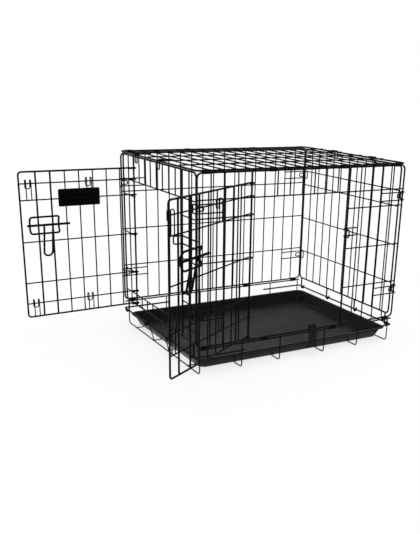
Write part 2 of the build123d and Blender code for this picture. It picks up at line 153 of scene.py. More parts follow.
@dataclass(frozen=True)
class CrateSizes:
    """Sizes that the crate's panels share."""

    gauge: Gauges = Gauges()
    bead: Beads = Beads()
    side_x: float = 300.0
    side_y: float = 230.0
    rim_z: float = 66.0
    side_bottom: float = 72.0
    side_top: float = 481.0
    top_z: float = 485.6
    rod_z: float = 47.0
    end_bottom: float = 77.0
    end_top: float = 480.0
    end_x: float = 297.0
    end_y: float = 220.5
    corner: float = 12.0
    side_gaps: int = 17
    hinge_gaps: int = 4
    opening_gaps: int = 8
    end_gaps: int = 12
    strip_gaps: int = 2
    side_rows: Row = (172.5, 275.5, 378.5)
    side_header: float = 420.5
    end_rows: Row = (167.0, 271.0, 374.0)
    end_header: float = 415.0
    end_sill: float = 104.5
    top_rows: Row = (-138.0, -46.0, 46.0, 138.0)
    catch_heights: Row = (150.0, 402.0)
    end_latch_z: float = 316.0
    side_latch_z: float = 318.5

    @property
    def side_pitch(self) -> float:
        """Spacing of the upright wires on the long sides and the top."""
        return 2 * self.side_x / self.side_gaps

    @property
    def end_pitch(self) -> float:
        """Spacing of the upright wires on the ends."""
        return 2 * self.end_y / self.end_gaps

    @property
    def side_hinge_x(self) -> float:
        """Place of the side door's hinge wire."""
        return -self.side_x + self.hinge_gaps * self.side_pitch

    @property
    def side_edge_x(self) -> float:
        """Place of the upright wire on the other side of the side doorway."""
        return self.side_hinge_x + self.opening_gaps * self.side_pitch

    @property
    def end_hinge_y(self) -> float:
        """Place of the end door's hinge wire."""
        return self.end_y - self.strip_gaps * self.end_pitch

    @property
    def rod_x(self) -> float:
        """Distance of an end rod from the middle."""
        return self.end_x + self.gauge.hook

    @property
    def outside_x(self) -> float:
        """Distance of the hooks and catches that pass outside the ends."""
        return self.side_x + self.gauge.frame + self.gauge.catch_play + self.gauge.mesh


def spread(middle: float, width: float) -> Pair:
    """The two ends of a width about its middle."""
    return middle - width / 2, middle + width / 2


def on_plan(x: float, y: float, z: float) -> Point:
    """A point whose path is drawn on plan."""
    return x, y, z


def stand(name: str, data: bpy.types.ID) -> bpy.types.Object:
    """Put a mesh, a lamp or a camera into the scene.

    Args:
        name: the object's name.
        data: what the object shows.

    Returns:
        The object.
    """
    made = bpy.data.objects.new(name, data)
    bpy.context.scene.collection.objects.link(made)
    return made


def hand_over(mesh: bpy.types.Mesh, body: Body, slot: Slot, *nodes: str) -> None:
    """Put a finished piece into the scene, where it rides on its body and stands for its nodes.

    Args:
        mesh: the finished mesh, which has the piece's name.
        body: the body that it rides on.
        slot: its material slot; not used.
        nodes: the nodes that it stands for.
    """
    piece = stand(mesh.name, mesh)
    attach(piece, body.value)
    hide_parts(*nodes)
    LOG.info("%s rides on %s, %d faces", piece.name, body.value, len(mesh.polygons))


class Socket:
    """An output of a shader node, with the operators that the finishes use."""

    def __init__(self, graph: "ShaderGraph", output: bpy.types.NodeSocket) -> None:
        """Wrap one output of a graph's node."""
        self.graph = graph
        self.output = output

    def _math(self, operation: str, first: Value, second: Value) -> "Socket":
        """Add a Math node for two values."""
        return self.graph.node("ShaderNodeMath", {"operation": operation}, {0: first, 1: second})

    def __add__(self, other: Value) -> "Socket":
        """Sum."""
        return self._math("ADD", self, other)

    def __radd__(self, other: Value) -> "Socket":
        """Sum, reflected."""
        return self._math("ADD", other, self)

    def __mul__(self, other: Value) -> "Socket":
        """Product."""
        return self._math("MULTIPLY", self, other)

    def __rmul__(self, other: Value) -> "Socket":
        """Product, reflected."""
        return self._math("MULTIPLY", other, self)


class ShaderGraph:
    """The shader nodes of a material or the world."""

    SEEN_BY = ("Is Camera Ray", "Is Glossy Ray", "Is Transmission Ray")

    def __init__(self, owner: Union[bpy.types.Material, bpy.types.World]) -> None:
        """Take over the nodes that a new material or world starts with.

        Args:
            owner: the material or the world.
        """
        owner.use_nodes = True
        self.owner = owner
        self.tree = owner.node_tree

    def node(self, kind: str, settings: Any = None, values: Any = None, output: Any = 0) -> Socket:
        """Add a node.

        Args:
            kind: the node's type.
            settings: its properties; "stops" sets a ramp's (position, grey) stops.
            values: numbers or sockets for its inputs, by index or name.
            output: which output to return.

        Returns:
            The chosen output.
        """
        made = self.tree.nodes.new(kind)
        for key, value in (settings or {}).items():
            if key == "stops":
                self._set_stops(made.color_ramp, value)
            else:
                setattr(made, key, value)
        for key, value in (values or {}).items():
            self.feed(made.inputs[key], value)
        return Socket(self, made.outputs[output])

    @staticmethod
    def _set_stops(ramp: bpy.types.ColorRamp, stops: Sequence[Pair]) -> None:
        """Set a ramp's stops.

        Args:
            ramp: the ramp, which starts with two stops.
            stops: two (position, grey) pairs.
        """
        for element, (position, grey) in zip(ramp.elements, stops):
            element.position = position
            element.color = (grey, grey, grey, 1.0)

    def feed(self, target: bpy.types.NodeSocket, value: Any) -> None:
        """Link a socket or set a plain value.

        Args:
            target: the input.
            value: a Socket, a number or a tuple.
        """
        if isinstance(value, Socket):
            self.tree.links.new(value.output, target)
        else:
            target.default_value = value

    def set(self, **values: Any) -> None:
        """Feed the Principled shader's inputs, with underscores for spaces in their names.

        Args:
            values: a Socket, a number or a tuple for each input.
        """
        shader = next(n for n in self.tree.nodes if n.type == "BSDF_PRINCIPLED")
        for key, value in values.items():
            self.feed(shader.inputs[key.replace("_", " ")], value)

    def seen(self) -> Socket:
        """Tell the rays that show a surface to the camera, also by way of gloss or glass."""
        camera, glossy, through = (self.node("ShaderNodeLightPath", output=kind) for kind in self.SEEN_BY)
        return camera + glossy + through

    def noise(self, scale: float, detail: float = 3.0, rough: float = 0.55) -> Socket:
        """Noise on the object's own coordinates.

        Args:
            scale: cells to a metre.
            detail: octaves.
            rough: how much the finer octaves count.

        Returns:
            The noise's value.
        """
        place = self.node("ShaderNodeTexCoord", output="Object")
        values = {"Vector": place, "Scale": scale, "Detail": detail, "Roughness": rough}
        return self.node("ShaderNodeTexNoise", {}, values, "Fac")

    def ramp(self, value: Socket, stops: Sequence[Pair]) -> Socket:
        """Map a value through two (position, grey) stops."""
        return self.node("ShaderNodeValToRGB", {"stops": stops}, {"Fac": value})

    def mix(self, factor: Socket, first: Colour, second: Colour) -> Socket:
        """Mix two colours, from the first at 0 to the second at 1."""
        return self.node("ShaderNodeMix", {"data_type": "RGBA"}, {0: factor, 6: first, 7: second}, 2)

    def bump(self, height: Socket, strength: float, distance: float) -> Socket:
        """Turn a height into a normal, with the bump's strength and its depth in metres."""
        values = {"Height": height, "Strength": strength, "Distance": distance}
        return self.node("ShaderNodeBump", {}, values, "Normal")


@dataclass(frozen=True)
class PowderCoat:
    """Black powder coat on steel: a fine orange peel, a little uneven in gloss."""

    name: str
    deep: Colour = (0.0015, 0.0015, 0.0016, 1.0)
    worn: Colour = (0.0042, 0.0042, 0.0044, 1.0)
    gloss: float = 0.36
    gloss_spread: float = 0.16
    sheen: float = 0.04
    patch_scale: float = 60.0
    patch_detail: float = 4.0
    patch_stops: Pairs = ((0.35, 0.0), (0.7, 1.0))
    peel_scale: float = 1400.0
    peel_detail: float = 2.0
    peel_strength: float = 0.35
    peel_depth: float = 0.00008

    def material(self) -> bpy.types.Material:
        """Build the finish.

        Returns:
            The material.
        """
        graph = ShaderGraph(bpy.data.materials.new(self.name))
        patches = graph.ramp(graph.noise(self.patch_scale, self.patch_detail), self.patch_stops)
        peel = graph.noise(self.peel_scale, self.peel_detail)
        graph.set(
            Base_Color=graph.mix(patches, self.deep, self.worn),
            Roughness=self.gloss + patches * self.gloss_spread,
            Specular_IOR_Level=self.sheen,
            Normal=graph.bump(peel, self.peel_strength, self.peel_depth),
        )
        return graph.owner


@dataclass(frozen=True)
class MouldedPlastic:
    """Black moulded plastic: fine grain, and, if any, rubbed patches and a brownish colour where it lies
    flat, partly a dusty film and partly a painted reflection of light from above.
    """

    name: str
    base: Colour = (0.0022, 0.0022, 0.0023, 1.0)
    # brownish colour that stands partly for a dusty film and partly for a painted reflection of light from
    # above
    dust_and_reflection: Optional[Colour] = (0.0105, 0.009, 0.0078, 1.0)
    gloss: float = 0.34
    gloss_spread: float = 0.2
    sheen: float = 0.07
    level_stops: Pairs = ((0.9, 0.0), (0.99, 1.0))
    smear_scale: float = 9.0
    smear_detail: float = 5.0
    smear_rough: float = 0.6
    smear_stops: Pairs = ((0.32, 0.25), (0.72, 1.0))
    fleck_scale: float = 240.0
    fleck_stops: Pairs = ((0.45, 0.75), (0.75, 1.0))
    grain_scale: float = 1100.0
    grain_detail: float = 2.0
    grain_strength: float = 0.3
    grain_depth: float = 0.0001

    def _dust_and_reflection_mask(self, graph: ShaderGraph) -> Socket:
        """Where the brownish colour lies: a dusty film and a painted reflection on the faces that look up.

        Args:
            graph: the material's nodes.

        Returns:
            1 for the spots with the most dusty film and painted reflection, 0 for clean ones.
        """
        normal = graph.node("ShaderNodeNewGeometry", output="Normal")
        up = graph.node("ShaderNodeSeparateXYZ", {}, {0: normal}, "Z")
        smear = graph.noise(self.smear_scale, self.smear_detail, self.smear_rough)
        fleck = graph.ramp(graph.noise(self.fleck_scale), self.fleck_stops)
        return graph.ramp(up, self.level_stops) * graph.ramp(smear, self.smear_stops) * fleck

    def material(self) -> bpy.types.Material:
        """Build the finish.

        Returns:
            The material.
        """
        graph = ShaderGraph(bpy.data.materials.new(self.name))
        colour, rough = self.base, self.gloss
        # mixes in the brownish colour on upward faces: partly dusty film, partly painted reflection
        if self.dust_and_reflection:
            mask = self._dust_and_reflection_mask(graph)
            colour, rough = graph.mix(mask, self.base, self.dust_and_reflection), self.gloss + mask * self.gloss_spread
        grain = graph.noise(self.grain_scale, self.grain_detail)
        graph.set(
            Base_Color=colour,
            Roughness=rough,
            Specular_IOR_Level=self.sheen,
            Normal=graph.bump(grain, self.grain_strength, self.grain_depth),
        )
        return graph.owner


@dataclass
class Wire:
    """One bent wire, through its corner points; its ends are rounded off over soft_end."""

    points: Sequence[Point]
    gauge: float
    bend: float = 0.0
    closed: bool = False
    soft_end: float = 0.4

    @classmethod
    def hairpin(cls, path: Sequence[Pair], legs: Pair, put: Put, gauge: float, bend: float) -> "Wire":
        """A wire that runs out along a path and back beside it.

        Args:
            path: the path's corner points in its own plane.
            legs: where the leg out and the leg back lie across that plane.
            put: puts a point of the path and its leg's place in the crate's frame.
            gauge: the wire's radius.
            bend: the radius of its bends.

        Returns:
            The wire.
        """
        out, back = ([put(a, b, leg) for a, b in path] for leg in legs)
        return cls(out + back[::-1], gauge, bend)

    def stations(self, coat: float) -> list[tuple[Vector, float, float]]:
        """The wire's stations.

        Args:
            coat: how thick its coat lies.

        Returns:
            Each station's point, radius and bend.
        """
        spots, gauge = [Vector(p) for p in self.points], self.gauge + coat
        full = [(spot, gauge, self.bend) for spot in spots]
        if self.closed:
            return full
        rows = []
        for end, beside in ((spots[0], spots[1]), (spots[-1], spots[-2])):
            way = (beside - end).normalized()
            rows.append([(end, gauge - self.soft_end, 0.0), (end + way * self.soft_end, gauge, 0.0)])
        return rows[0] + full[1:-1] + rows[1][::-1]


class WireTree:
    """Geometry Nodes that draw wires along edges and set weld beads on loose points."""

    SIDES = "Sides"
    BEND_STEPS = "Bend Steps"
    COATING = "Coating"
    NUMBERS = ("gauge", "bend", "bead")
    BEAD_SEGMENTS = 8
    BEAD_RINGS = 5

    def __init__(self) -> None:
        """Build the tree once."""
        self.tree = bpy.data.node_groups.new("Drawn wire", "GeometryNodeTree")
        face = self.tree.interface
        for way in ("INPUT", "OUTPUT"):
            face.new_socket("Geometry", in_out=way, socket_type="NodeSocketGeometry")
        kinds = {self.SIDES: "Int", self.BEND_STEPS: "Int", self.COATING: "Material"}
        self.ids = {
            name: face.new_socket(name, in_out="INPUT", socket_type=f"NodeSocket{kind}").identifier
            for name, kind in kinds.items()
        }
        self._build()

    def _add(self, kind: str, values: Optional[dict[str, Any]] = None, **settings: Any) -> bpy.types.Node:
        """Add a node.

        Args:
            kind: the node's type.
            values: plain values of its inputs.
            settings: its properties.

        Returns:
            The node.
        """
        made = self.tree.nodes.new(kind)
        for key, value in settings.items():
            setattr(made, key, value)
        for key, value in (values or {}).items():
            made.inputs[key].default_value = value
        return made

    def _number(self, name: str) -> bpy.types.Node:
        """Read a named attribute of the points."""
        return self._add("GeometryNodeInputNamedAttribute", {"Name": name}, data_type="FLOAT")

    def _build(self) -> None:
        """Join the nodes."""
        given = self._add("NodeGroupInput")
        result = self._add("NodeGroupOutput")
        path = self._add("GeometryNodeMeshToCurve")
        bends = self._add("GeometryNodeFilletCurve", {"Limit Radius": True}, mode="POLY")
        profile = self._add("GeometryNodeCurvePrimitiveCircle", {"Radius": 1.0}, mode="RADIUS")
        drawn = self._add("GeometryNodeCurveToMesh", {"Fill Caps": True})
        round_off = self._add("GeometryNodeSetShadeSmooth")
        dots = self._add("GeometryNodeMeshToPoints")
        chosen = self._add("FunctionNodeCompare", data_type="FLOAT", operation="GREATER_THAN")
        ball = {"Segments": self.BEAD_SEGMENTS, "Rings": self.BEAD_RINGS, "Radius": 1.0}
        bead = self._add("GeometryNodeMeshUVSphere", ball)
        beads = self._add("GeometryNodeInstanceOnPoints")
        together = self._add("GeometryNodeJoinGeometry")
        real = self._add("GeometryNodeRealizeInstances")
        coat = self._add("GeometryNodeSetMaterial")
        gauge, bend, size = (self._number(name) for name in self.NUMBERS)
        for node, output, target, entry in (
            (given, "Geometry", path, "Mesh"),
            (path, "Curve", bends, "Curve"),
            (given, self.BEND_STEPS, bends, "Count"),
            (bend, "Attribute", bends, "Radius"),
            (given, self.SIDES, profile, "Resolution"),
            (bends, "Curve", drawn, "Curve"),
            (profile, "Curve", drawn, "Profile Curve"),
            (gauge, "Attribute", drawn, "Scale"),
            (drawn, "Mesh", together, "Geometry"),
            (size, "Attribute", chosen, "A"),
            (given, "Geometry", dots, "Mesh"),
            (chosen, "Result", dots, "Selection"),
            (dots, "Points", beads, "Points"),
            (bead, "Mesh", beads, "Instance"),
            (size, "Attribute", beads, "Scale"),
            (beads, "Instances", together, "Geometry"),
            (together, "Geometry", real, "Geometry"),
            (real, "Geometry", round_off, "Geometry"),
            (round_off, "Geometry", coat, "Geometry"),
            (given, self.COATING, coat, "Material"),
            (coat, "Geometry", result, "Geometry"),
        ):
            self.tree.links.new(node.outputs[output], target.inputs[entry])


@dataclass
class Workshop:
    """What every class builds with: the wire tree and the finishes."""

    wires: WireTree
    coat: bpy.types.Material
    strap: bpy.types.Material
    tray: bpy.types.Material
    plate: bpy.types.Material


class Loom:
    """Collects the wires and weld beads of one piece and draws them."""

    SHARP = math.radians(50)

    def __init__(self, shop: Workshop, name: str, coat: float = Gauges.coat) -> None:
        """Start an empty piece.

        Args:
            shop: the shared workshop.
            name: the piece's name.
            coat: how thick the coat lies on its wires.
        """
        self.shop = shop
        self.name = name
        self.coat = coat
        self.wires: list[Wire] = []
        self.beads: list[tuple[Point, float]] = []

    def add(self, *wires: Wire) -> "Loom":
        """Add wires."""
        self.wires.extend(wires)
        return self

    def weld(self, places: Iterable[Point], radius: float) -> None:
        """Add weld beads of one size."""
        self.beads.extend((place, radius) for place in places)

    def _seed(self) -> bpy.types.Object:
        """Lay out the edges and loose points that the wire tree reads.

        Returns:
            An object with the points' gauges, bends and beads as attributes.
        """
        rows: list[tuple[Vector, float, float, float]] = []
        edges: list[tuple[int, int]] = []
        for wire in self.wires:
            first = len(rows)
            rows += [(*station, 0.0) for station in wire.stations(self.coat)]
            last = len(rows) - 1
            edges += [(i, i + 1) for i in range(first, last)]
            if wire.closed:
                edges.append((last, first))
        rows += [(Vector(place), 0.0, 0.0, radius) for place, radius in self.beads]
        mesh = bpy.data.meshes.new(self.name + "_paths")
        mesh.from_pydata([row[0] * MM for row in rows], edges, [])
        for column, key in enumerate(WireTree.NUMBERS, 1):
            values = [row[column] * MM for row in rows]
            mesh.attributes.new(key, "FLOAT", "POINT").data.foreach_set("value", values)
        return stand(mesh.name, mesh)

    def draw(self, body: Body, *nodes: str, sides: int = 12, steps: int = 6) -> None:
        """Draw the wires as a plain mesh.

        Args:
            body: the body that the piece rides on.
            nodes: the nodes that it stands for.
            sides: sides of a wire's section.
            steps: points in a bend.
        """
        seed, tree = self._seed(), self.shop.wires
        modifier = seed.modifiers.new("Drawn wire", "NODES")
        modifier.node_group = tree.tree
        modifier[tree.ids[tree.SIDES]] = sides
        modifier[tree.ids[tree.BEND_STEPS]] = steps
        modifier[tree.ids[tree.COATING]] = self.shop.coat
        graph = bpy.context.evaluated_depsgraph_get()
        mesh = bpy.data.meshes.new_from_object(seed.evaluated_get(graph))
        bpy.data.objects.remove(seed)
        mesh.name = self.name
        for key in tree.NUMBERS:
            if key in mesh.attributes:
                mesh.attributes.remove(mesh.attributes[key])
        mesh.set_sharp_from_angle(angle=self.SHARP)
        hand_over(mesh, body, Slot.COAT, *nodes)


class StackedShell:
    """A closed shell through rounded rectangles of changing size, each at its own height."""

    CORNER_STEPS = 10
    SHARP = math.radians(35)

    def __init__(self, half_x: float, half_y: float) -> None:
        """Set half of the longest outline along its two axes."""
        self.half_x = half_x
        self.half_y = half_y

    def _outline(self, inset: float, radius: float) -> list[Pair]:
        """One rounded rectangle.

        Args:
            inset: how far it lies inside the outer half sizes.
            radius: its corner radius.

        Returns:
            Its points, anticlockwise.
        """
        x, y = self.half_x - inset - radius, self.half_y - inset - radius
        points = []
        for quarter, (sx, sy) in enumerate(((1, 1), (-1, 1), (-1, -1), (1, -1))):
            for step in range(self.CORNER_STEPS + 1):
                angle = (quarter + step / self.CORNER_STEPS) * math.pi / 2
                points.append((sx * x + radius * math.cos(angle), sy * y + radius * math.sin(angle)))
        return points

    def mesh(self, name: str, profile: Sequence[Point], put: Put) -> bpy.types.Mesh:
        """Build the shell.

        Args:
            name: the mesh's name.
            profile: (inset, radius, height) of each outline, from the underside's middle round to the top.
            put: puts a local point in the crate's frame.

        Returns:
            The mesh, closed by a flat face at each end of the profile.
        """
        loops = [[put(x, y, z) for x, y in self._outline(inset, radius)] for inset, radius, z in profile]
        count = len(loops[0])
        spots = [Vector(p) * MM for loop in loops for p in loop]
        faces: list[list[int]] = [list(range(count))[::-1]]
        for row in range(len(loops) - 1):
            for i in range(count):
                j = (i + 1) % count
                low, high = row * count, (row + 1) * count
                faces.append([low + i, low + j, high + j, high + i])
        faces.append([(len(loops) - 1) * count + i for i in range(count)])
        made = bpy.data.meshes.new(name)
        made.from_pydata(spots, [], faces)
        made.shade_smooth()
        made.set_sharp_from_angle(angle=self.SHARP)
        return made


@dataclass
class Base:
    """The base: a flat floor of wires, rails with risers on the long sides, and the ends' hinge rods."""

    sizes: CrateSizes
    shop: Workshop
    places: Row = (-290.0, -173.0, -61.0, 77.0, 188.0, 292.0)
    floor_rows: Row = (-165.0, -44.0, 44.0, 165.0)
    row_margin: float = 5.0
    riser_bend: float = 9.0
    riser_foot: float = 12.0
    rod_leg: float = 136.0
    rod_bend: float = 6.0
    link_places: Row = (-50.0, 50.0)

    @property
    def riser_y(self) -> float:
        """Distance of the risers from the middle."""
        gauge = self.sizes.gauge
        return self.sizes.side_y - gauge.frame - gauge.floor + gauge.weld

    @property
    def bend_y(self) -> float:
        """Where the risers' feet meet the floor's cross wires."""
        return self.riser_y - self.riser_foot

    def _floor(self) -> None:
        """Build the floor's cross wires and rows."""
        gauge, bead = self.sizes.gauge, self.sizes.bead
        row_z, bead_z = 2 * gauge.floor + gauge.mesh - gauge.weld, 2 * gauge.floor - gauge.weld / 2
        reach = self.sizes.side_x - self.row_margin
        floor = Loom(self.shop, "floor_wires", 0.0)
        for y in self.floor_rows:
            floor.add(Wire([(-reach, y, row_z), (reach, y, row_z)], gauge.mesh))
        for x in self.places:
            ends = [(x, -self.bend_y, gauge.floor), (x, self.bend_y, gauge.floor)]
            floor.add(Wire(ends, gauge.floor, soft_end=0))
            floor.weld([(x, y, bead_z) for y in self.floor_rows], bead.floor)
        floor.draw(Body.CRATE, "floor_grid")

    def _rails(self) -> None:
        """Build the long sides' rails and risers."""
        s, gauge, top = self.sizes, self.sizes.gauge, self.sizes.rim_z + self.sizes.gauge.frame
        for side, name in ((-1, "near"), (1, "far")):
            rail = Loom(self.shop, f"{name}_base_wires", 0.0)
            y, riser_y, bend_y = (side * v for v in (s.side_y, self.riser_y, self.bend_y))
            rail.add(Wire([(-s.side_x, y, s.rim_z), (s.side_x, y, s.rim_z)], gauge.frame))
            for x in self.places:
                bent = [(x, riser_y, top), (x, riser_y, gauge.floor), (x, bend_y, gauge.floor)]
                rail.add(Wire(bent, gauge.floor, self.riser_bend))
            weld_y = side * (self.riser_y + gauge.floor - gauge.weld / 2)
            rail.weld([(x, weld_y, s.rim_z) for x in self.places], s.bead.rail)
            rail.draw(Body.CRATE, f"{name}_base_rail")

    def _rods(self) -> None:
        """Build the ends' hinge rods."""
        s, gauge = self.sizes, self.sizes.gauge
        leg_y = self.riser_y + gauge.floor + gauge.frame
        for end, name in ((-1, "left"), (1, "right")):
            x, inner = end * s.rod_x, end * (s.rod_x - self.rod_leg)
            plan = [(inner, -leg_y), (x, -leg_y), (x, leg_y), (inner, leg_y)]
            rod = Loom(self.shop, f"{name}_end_rod_wire")
            rod.add(Wire([(px, py, s.rod_z) for px, py in plan], gauge.frame, self.rod_bend))
            rod.draw(Body.CRATE, f"{name}_end_rod")

    def _links(self) -> None:
        """Build the links that carry the left rod on the first cross wire."""
        s, gauge = self.sizes, self.sizes.gauge
        top, foot = Vector((-s.rod_x, 0.0, s.rod_z)), Vector((self.places[0], 0.0, gauge.floor))
        way = (foot - top).normalized()
        top, foot = top + way * (gauge.frame - gauge.weld), foot - way * (gauge.floor - gauge.weld)
        links = Loom(self.shop, "left_rod_link_wires", 0.0)
        for y in self.link_places:
            across = Vector((0.0, y, 0.0))
            links.add(Wire([tuple(top + across), tuple(foot + across)], gauge.mesh))
            links.weld([tuple(foot + across)], s.bead.link)
        links.draw(Body.CRATE, "left_rod_links")

    def build(self) -> None:
        """Build the floor, the rails, the rods and the links."""
        self._floor()
        self._rails()
        self._rods()
        self._links()


@dataclass(frozen=True)
class Doorway:
    """A gap in a panel between two thick upright wires.

    Attributes:
        first: the thick wire before it, counted from the panel's first post.
        last: the thick wire after it.
        header: height of the row above it.
        sill: height of the row below it, or None where it reaches the bottom wire.
    """

    first: int
    last: int
    header: float
    sill: Optional[float] = None


@dataclass
class Panel:
    """A closed frame filled with upright wires and rows, in a plane of its own.

    Attributes:
        put: puts a place along it, a height and a depth in the crate's frame.
        half: half of its length.
        gaps: the number of gaps between its upright wires.
        overrun: how far past its ends a row still counts as welded.
    """

    sizes: CrateSizes
    loom: Loom
    put: Put
    half: float
    bottom: float
    top: float
    gaps: int
    overrun: float = 1.0

    def build(
        self, whole: Sequence[float], split: Sequence[float] = (), way: Optional[Doorway] = None
    ) -> None:
        """Add the frame, the upright wires, the rows and their weld beads.

        Args:
            whole: heights of the rows that run from post to post.
            split: heights of the rows that stop at the doorway.
            way: the doorway, if there is one.
        """
        gauge, bead, put = self.sizes.gauge, self.sizes.bead, self.put
        half, low, high, pitch = self.half, self.bottom, self.top, 2 * self.half / self.gaps
        corners = ((-half, low), (half, low), (half, high), (-half, high))
        ring = [put(u, z, 0.0) for u, z in corners]
        self.loom.add(Wire(ring, gauge.frame, self.sizes.corner, closed=True))
        places = [-half + i * pitch for i in range(1, self.gaps)]
        spans = [(-half, half, z) for z in whole]
        full, feet, short, thick, rims, stubs = places, places, [], [], [], []
        if way:
            thick = [places[way.first - 1], places[way.last - 1]]
            full = places[: way.first - 1] + places[way.last :]
            short = places[way.first : way.last - 1]
            spans += [span for z in split for span in ((-half, thick[0], z), (thick[1], half, z))]
            rims, stubs, feet = [way.header], [(way.header, high)], full + thick
            if way.sill is not None:
                rims, stubs, feet = rims + [way.sill], stubs + [(low, way.sill)], places
        uprights = [(u, low, high, gauge.mesh) for u in full]
        uprights += [(u, start, end, gauge.mesh) for start, end in stubs for u in short]
        uprights += [(u, low, high, gauge.hinge) for u in thick]
        inset, reach = gauge.row_inset, self.overrun
        self.loom.add(*(Wire([put(a, z, inset), put(b, z, inset)], gauge.mesh) for a, b, z in spans))
        self.loom.add(*(Wire([put(u, a, 0.0), put(u, b, 0.0)], radius) for u, a, b, radius in uprights))
        crossed = full + thick + [-half, half]
        welds = [(u, z) for a, b, z in spans for u in crossed if a - reach <= u <= b + reach]
        welds += [(u, z) for u in short for z in rims]
        self.loom.weld([put(u, z, inset / 2) for u, z in welds], bead.row)
        self.loom.weld([put(u, high - bead.frame_shift, 0.0) for u in places], bead.frame)
        self.loom.weld([put(u, low + bead.frame_shift, 0.0) for u in feet], bead.frame)


@dataclass
class LongSide:
    """A long side: its frame, upright wires, rows, corner loops and catches."""

    sizes: CrateSizes
    shop: Workshop
    side: Sign
    has_door: bool
    loop_reach: float = 17.0
    loop_span: float = 10.0
    catch_span: float = 20.0
    catch_gaps: int = 2
    catch_bend: float = 3.0
    catch_return: float = 12.0

    def _put(self, along: float, height: float, depth: float) -> Point:
        """A point by its place along the side, its height and its depth inwards."""
        return along, self.side.value * (self.sizes.side_y - depth), height

    def _level(self, along: float, depth: float, height: float) -> Point:
        """A point of a hairpin whose legs lie one above the other."""
        return self._put(along, height, depth)

    def _pins(self, path: Sequence[Pair], span: float) -> list[Wire]:
        """Hairpins at both ends and each of the catches' heights.

        Args:
            path: (place along, depth) of the path's points at the right end.
            span: from leg to leg.

        Returns:
            Their wires.
        """
        gauge, wires = self.sizes.gauge.mesh, []
        for end in (-1, 1):
            mirrored = [(end * along, depth) for along, depth in path]
            for height in self.sizes.catch_heights:
                legs = spread(height, span)[::-1]
                wires.append(Wire.hairpin(mirrored, legs, self._level, gauge, self.catch_bend))
        return wires

    def build(self) -> None:
        """Build the panel with its loops, and the catches."""
        s = self.sizes
        name = "near" if self.side is Sign.LOW else "far"
        loom = Loom(self.shop, f"{name}_side_wires")
        panel = Panel(s, loom, self._put, s.side_x, s.side_bottom, s.side_top, s.side_gaps)
        if self.has_door:
            way = Doorway(s.hinge_gaps, s.hinge_gaps + s.opening_gaps, s.side_header)
            panel.build([s.side_header], s.side_rows, way)
        else:
            panel.build(s.side_rows)
        loom.add(*self._pins([(s.side_x, 0.0), (s.side_x - self.loop_reach, 0.0)], self.loop_span))
        loom.draw(Body.CRATE, f"{name}_side_panel")
        outer, start = -s.gauge.frame - s.gauge.mesh, s.side_x - self.catch_gaps * s.side_pitch
        path = [(start, outer), (s.outside_x, outer), (s.outside_x, self.catch_return)]
        catches = Loom(self.shop, f"{name}_catch_wires").add(*self._pins(path, self.catch_span))
        catches.draw(Body.CRATE, f"{name}_corner_catches")


@dataclass
class Top:
    """The top: its frame, cross wires and rows, and the hooks that hold the ends."""

    sizes: CrateSizes
    shop: Workshop
    left_places: Row = (110.0, -30.0)
    right_places: Row = (75.0, -100.0)
    hook_inside: float = 34.0
    hook_drop: float = 22.0
    hook_span: float = 12.5
    hook_bend: float = 4.0

    def _put(self, x: float, y: float, rise: float) -> Point:
        """A point by its place on plan and its rise above the frame."""
        return x, y, self.sizes.top_z + rise

    def build(self) -> None:
        """Build the panel and its hooks."""
        s, upper = self.sizes, self.sizes.top_z + self.sizes.gauge.frame + self.sizes.gauge.mesh
        loom = Loom(self.shop, "top_wires")
        Panel(s, loom, self._put, s.side_x, -s.side_y, s.side_y, s.side_gaps).build(s.top_rows)
        loom.draw(Body.CRATE, "top_panel")
        for end, places, name in ((-1, self.left_places, "left"), (1, self.right_places, "right")):
            inside, outside = end * (s.side_x - self.hook_inside), end * s.outside_x
            path = [(inside, upper), (outside, upper), (outside, upper - self.hook_drop)]
            hooks = Loom(self.shop, f"{name}_top_hook_wires")
            for place in places:
                legs = spread(place, self.hook_span)
                hooks.add(Wire.hairpin(path, legs, lambda x, z, y: (x, y, z), s.gauge.mesh, self.hook_bend))
            hooks.draw(Body.CRATE, f"{name}_top_hooks")


@dataclass
class End:
    """An end: its frame, upright wires and rows, and the feet that hook round the end rod."""

    sizes: CrateSizes
    shop: Workshop
    end: Sign
    has_door: bool
    body: Body
    feet: int = 4

    def _put(self, along: float, height: float, depth: float) -> Point:
        """A point by its place along the end, its height and its depth inwards."""
        return self.end.value * (self.sizes.end_x - depth), along, height

    def _foot(self, y: float) -> Wire:
        """One hooked foot.

        Args:
            y: its place across the end.

        Returns:
            Its wire.
        """
        s, radius = self.sizes, self.sizes.gauge.hook
        low, high = spread(s.rod_z, 2 * radius)
        bent = [(s.end_bottom, 0.0), (low, 0.0), (low, -2 * radius), (high, -2 * radius)]
        return Wire([self._put(y, z, depth) for z, depth in bent], s.gauge.frame, radius)

    def build(self) -> None:
        """Build the panel and its feet."""
        s = self.sizes
        name = "left" if self.end is Sign.LOW else "right"
        loom = Loom(self.shop, f"{name}_end_wires")
        panel = Panel(s, loom, self._put, s.end_y, s.end_bottom, s.end_top, s.end_gaps)
        if self.has_door:
            way = Doorway(s.strip_gaps, s.end_gaps - s.strip_gaps, s.end_header, s.end_sill)
            panel.build([s.end_header, s.end_sill], s.end_rows, way)
        else:
            panel.build([s.end_header, *s.end_rows])
        outer = s.end_y - s.corner
        for i in range(self.feet):
            y = -outer + 2 * outer * i / (self.feet - 1)
            loom.add(self._foot(y))
            loom.weld([self._put(y, s.end_bottom - s.bead.foot_shift, 0.0)], s.bead.foot)
        loom.draw(self.body, f"{name}_end_panel")


